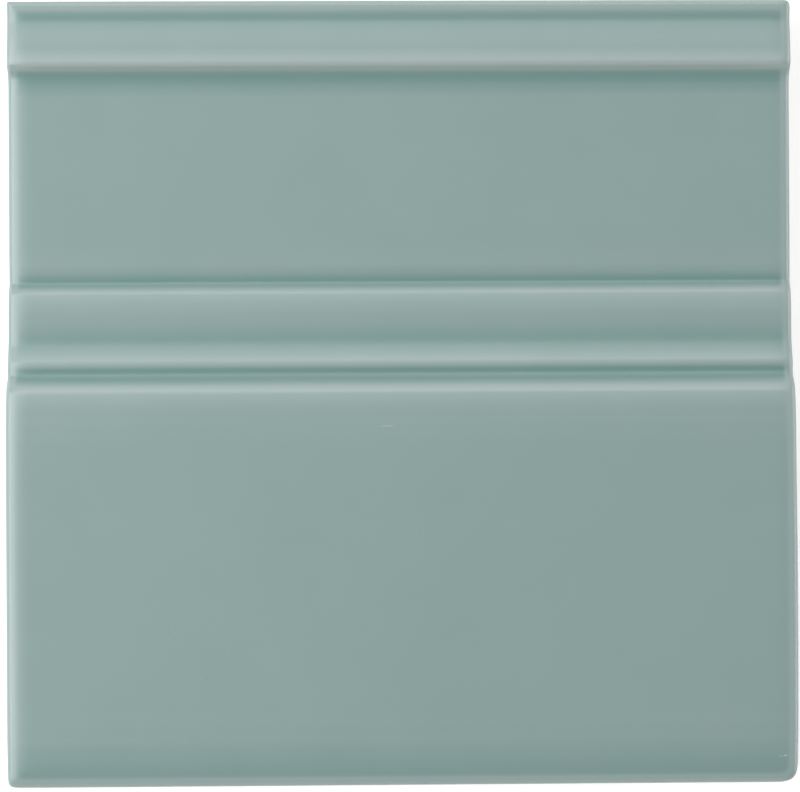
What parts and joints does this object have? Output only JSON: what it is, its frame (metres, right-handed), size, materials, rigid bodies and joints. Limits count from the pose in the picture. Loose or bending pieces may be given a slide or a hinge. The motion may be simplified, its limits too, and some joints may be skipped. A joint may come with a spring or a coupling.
{
  "type": "skirting tile",
  "caption": "Square glazed ceramic skirting tile with a thick plain plinth, a grooved and beaded band, a flat frieze and a sloping cap.",
  "frame": {"origin": "centre of the bedding plane, on the floor under the middle of the tile", "axes": "+X along the wall, +Y from the foot to the top edge, +Z out of the moulded face"},
  "size_m": [0.148, 0.1474, 0.014],
  "materials": {
    "glaze": "gloss"
  },
  "bodies": {
    "root": {"skirting_tile": "glaze"}
  },
  "joints": []
}
